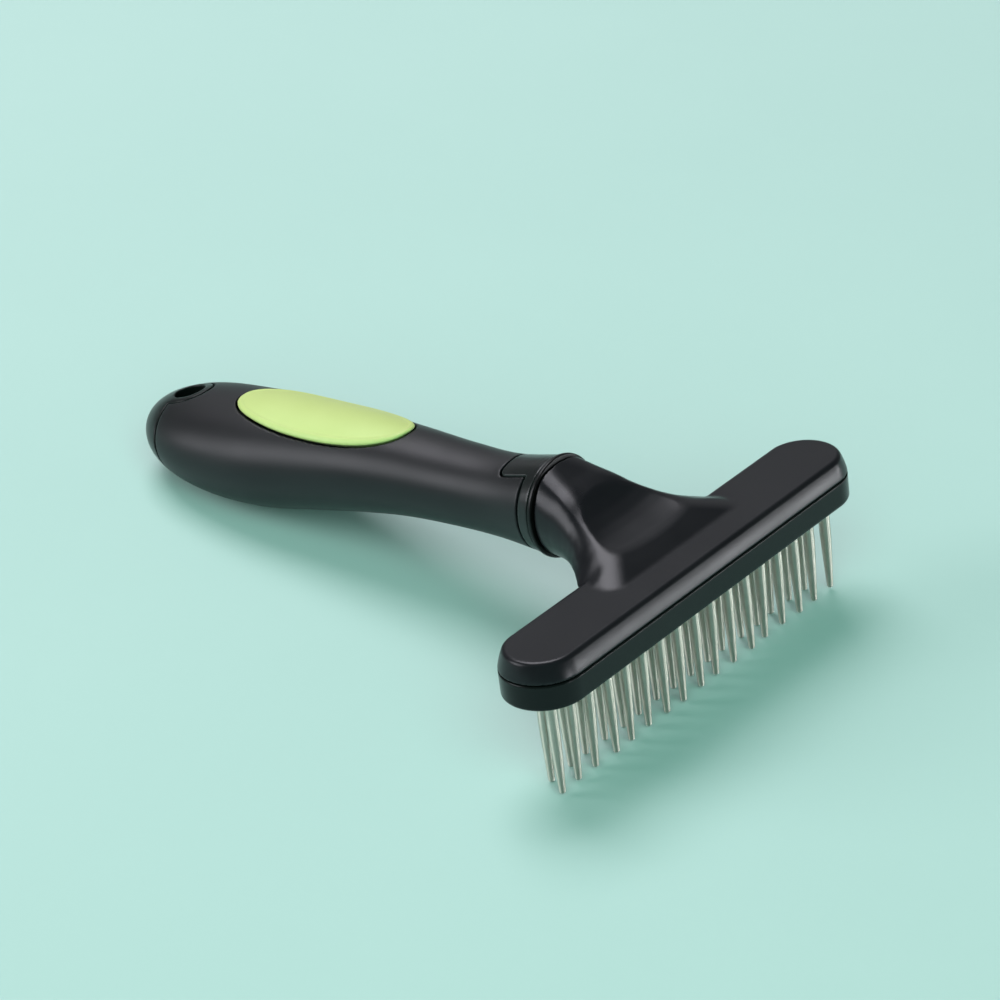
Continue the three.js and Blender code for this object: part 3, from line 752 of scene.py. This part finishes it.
def noise(nodes, links, coordinates, size, detail=3):
    """A noise whose features are about that size, in metres."""
    texture = nodes.new("ShaderNodeTexNoise")
    texture.inputs["Scale"].default_value = 1 / size
    texture.inputs["Detail"].default_value = detail
    links.new(coordinates, texture.inputs["Vector"])
    return texture.outputs["Fac"]


def between(nodes, links, factor, low, high):
    """A number that runs from low to high as a noise goes through its usual range."""
    ranged = nodes.new("ShaderNodeMapRange")
    ranged.inputs["From Min"].default_value = 0.3
    ranged.inputs["From Max"].default_value = 0.7
    ranged.inputs["To Min"].default_value = low
    ranged.inputs["To Max"].default_value = high
    links.new(factor, ranged.inputs["Value"])
    return ranged.outputs["Result"]


def mixed(nodes, links, factor, first, second):
    """A colour between two others."""
    mix = nodes.new("ShaderNodeMix")
    mix.data_type = "RGBA"
    mix.inputs["A"].default_value = (*first, 1)
    mix.inputs["B"].default_value = (*second, 1)
    links.new(factor, mix.inputs["Factor"])
    return mix.outputs["Result"]


def moulded(name, dark, light, roughness, grain=0.0003, depth=0.00001, shine=0.5):
    """Moulded plastic or rubber: a fine grain, and roughness and colour that vary slightly.

    The grain's size and depth are in metres."""
    material, nodes, links, shader = principled(name)
    place = nodes.new("ShaderNodeTexCoord").outputs["Object"]
    broad = noise(nodes, links, place, 0.018)
    fine = noise(nodes, links, place, grain, 2)
    colour = mixed(nodes, links, between(nodes, links, broad, 0, 1), dark, light)
    links.new(colour, shader.inputs["Base Color"])
    varied = between(nodes, links, broad, roughness - 0.03, roughness + 0.03)
    links.new(varied, shader.inputs["Roughness"])
    bump = nodes.new("ShaderNodeBump")
    bump.inputs["Strength"].default_value = 0.5
    bump.inputs["Distance"].default_value = depth
    links.new(fine, bump.inputs["Height"])
    links.new(bump.outputs["Normal"], shader.inputs["Normal"])
    shader.inputs["Specular IOR Level"].default_value = shine
    shader.inputs["Specular Tint"].default_value = (0.92, 0.93, 1, 1)
    return material


def shell_plastic():
    return moulded("satin_black", (0.0065, 0.0062, 0.008), (0.0085, 0.0082, 0.010),
                   roughness=0.30, shine=0.28)


def base_plastic():
    return moulded("base_black", (0.004, 0.005, 0.005), (0.006, 0.007, 0.007), roughness=0.22, shine=0.2)


def collar_plastic():
    return moulded("collar_black", (0.008, 0.009, 0.009), (0.010, 0.011, 0.011),
                   roughness=0.3, shine=0.42)


def cap_plastic():
    return moulded("cap_black", (0.004, 0.005, 0.005), (0.006, 0.007, 0.007), roughness=0.3, shine=0.28)


def ring_rubber():
    return moulded("ring_black", (0.002, 0.002, 0.002), (0.003, 0.003, 0.003), roughness=0.35, shine=0.3)


def grip_rubber():
    return moulded("soft_grip", (0.005, 0.005, 0.006), (0.007, 0.007, 0.008), roughness=0.42,
                   grain=0.00035, depth=0.00002, shine=0.42)


def pad_rubber():
    return moulded("lime_rubber", (0.50, 0.55, 0.19), (0.53, 0.58, 0.21), roughness=0.45)


def inner_plastic():
    return moulded("inner_plastic", (0.04, 0.04, 0.045), (0.05, 0.05, 0.055), roughness=0.5,
                   grain=0.0005, depth=0.00002)


def polished_steel():
    """Turned steel: fine rings round each pin draw its highlights out along it."""
    material, nodes, links, shader = principled("polished_steel")
    place = nodes.new("ShaderNodeTexCoord").outputs["Object"]
    broad = noise(nodes, links, place, 0.004)
    shader.inputs["Metallic"].default_value = 1.0
    dark = (0.62, 0.61, 0.54)
    light = (0.70, 0.69, 0.62)
    colour = mixed(nodes, links, between(nodes, links, broad, 0, 1), dark, light)
    links.new(colour, shader.inputs["Base Color"])
    links.new(between(nodes, links, broad, 0.44, 0.50), shader.inputs["Roughness"])
    shader.inputs["Anisotropic"].default_value = 0.9
    shader.inputs["Anisotropic Rotation"].default_value = 0.25
    round_pin = nodes.new("ShaderNodeTangent")
    round_pin.direction_type = "RADIAL"
    round_pin.axis = "Z"
    links.new(round_pin.outputs["Tangent"], shader.inputs["Tangent"])
    return material


# ---- Stage ---------------------------------------------------------------------------------------

# The camera's angles in radians, its distance and aim in millimetres and its lens.
CAMERA_TURN = 0.8967
CAMERA_DROP = 0.5712
CAMERA_DISTANCE = 924.2
CAMERA_AIM = (30.44, 3.01, 0.9)
CAMERA_LENS = 146.72
# Half the floor's width in metres, and how bright the studio is near the floor and overhead.
FLOOR_HALF = 6.0
WALL_LIGHT = 0.13
CEILING_LIGHT = 0.06


def make_camera():
    """The camera, looking down at the rake from in front of its head and to the left."""
    camera = bpy.data.objects.new("camera", bpy.data.cameras.new("camera"))
    forward = Vector((math.sin(CAMERA_TURN) * math.cos(CAMERA_DROP),
                      math.cos(CAMERA_TURN) * math.cos(CAMERA_DROP), -math.sin(CAMERA_DROP)))
    camera.location = (Vector(CAMERA_AIM) - forward * CAMERA_DISTANCE) * MM
    camera.rotation_euler = forward.to_track_quat("-Z", "Y").to_euler()
    camera.data.lens = CAMERA_LENS
    camera.data.sensor_width = 36
    camera.data.clip_start = 0.01
    bpy.context.scene.collection.objects.link(camera)
    bpy.context.scene.camera = camera


def make_floor():
    """A plain sheet of pale mint paper."""
    mesh = bpy.data.meshes.new("floor")
    half = FLOOR_HALF
    corners = [(-half, -half, 0), (half, -half, 0), (half, half, 0), (-half, half, 0)]
    mesh.from_pydata(corners, [], [(0, 1, 2, 3)])
    floor = bpy.data.objects.new("floor", mesh)
    material, nodes, links, shader = principled("mint_paper")
    place = nodes.new("ShaderNodeTexCoord").outputs["Object"]
    broad = noise(nodes, links, place, 0.1)
    dark = (0.45, 0.58, 0.567)
    light = (0.46, 0.59, 0.577)
    colour = mixed(nodes, links, between(nodes, links, broad, 0, 1), dark, light)
    links.new(colour, shader.inputs["Base Color"])
    shader.inputs["Roughness"].default_value = 0.9
    shader.inputs["Specular IOR Level"].default_value = 0.1
    mesh.materials.append(material)
    bpy.context.scene.collection.objects.link(floor)


def softbox(name, towards, distance, width, height, power, colour=(1, 1, 1)):
    """An area light in a direction from the rake, facing it. Its distance and sizes are in metres."""
    data = bpy.data.lights.new(name, "AREA")
    data.shape = "RECTANGLE"
    data.size = width
    data.size_y = height
    data.energy = power
    data.color = colour
    light = bpy.data.objects.new(name, data)
    direction = Vector(towards).normalized()
    light.location = direction * distance
    light.rotation_euler = direction.to_track_quat("Z", "Y").to_euler()
    bpy.context.scene.collection.objects.link(light)
    return light


def make_world():
    """A dark studio, a little paler near the floor."""
    world = bpy.data.worlds.new("studio")
    world.use_nodes = True
    nodes = world.node_tree.nodes
    links = world.node_tree.links
    split = nodes.new("ShaderNodeSeparateXYZ")
    links.new(nodes.new("ShaderNodeTexCoord").outputs["Generated"], split.inputs["Vector"])
    ranged = nodes.new("ShaderNodeMapRange")
    ranged.interpolation_type = "SMOOTHSTEP"
    ranged.inputs["From Min"].default_value = 0.1
    ranged.inputs["From Max"].default_value = 0.6
    ranged.inputs["To Min"].default_value = WALL_LIGHT
    ranged.inputs["To Max"].default_value = CEILING_LIGHT
    links.new(split.outputs["Z"], ranged.inputs["Value"])
    background = nodes["Background"]
    background.inputs["Color"].default_value = (0.95, 0.96, 1.0, 1)
    links.new(ranged.outputs["Result"], background.inputs["Strength"])
    bpy.context.scene.world = world


def make_lights():
    """A key light above, smaller ones round the sides, and a broad mint fill that draws no highlights."""
    softbox("key", (0.2, 0.445, 0.873), distance=2.0, width=1.3, height=1.05, power=31,
            colour=(1, 0.98, 1))
    softbox("left", (-0.65, 0.63, 0.42), distance=2.0, width=1.0, height=0.9, power=16.5)
    softbox("right", (0.66, -0.74, 0.03), distance=1.3, width=0.7, height=0.08, power=4.4)
    softbox("front", (0.15, -0.98, 0.05), distance=1.3, width=0.4, height=0.2, power=3.0)
    softbox("back", (0.67, 0.6, 0.44), distance=2.5, width=1.9, height=1.3, power=2.6,
            colour=(0.95, 0.96, 1))
    fill = softbox("fill", (-0.55, -0.5, 0.67), distance=2.5, width=2.4, height=2.4, power=56,
                   colour=(0.48, 1, 0.82))
    fill.visible_glossy = False


bpy.context.scene.view_settings.view_transform = "Standard"
steel = polished_steel()
make_camera()
make_head(shell_plastic(), base_plastic())
make_handle({
    "handle_core": collar_plastic(),
    "grip_sleeve": grip_rubber(),
    "thumb_pad": pad_rubber(),
    "end_cap": cap_plastic(),
})
make_ring(ring_rubber())
make_pins(steel)
finish_hidden_pieces({"pin_retainer": inner_plastic(), "tang_pin": steel})
make_floor()
make_world()
make_lights()
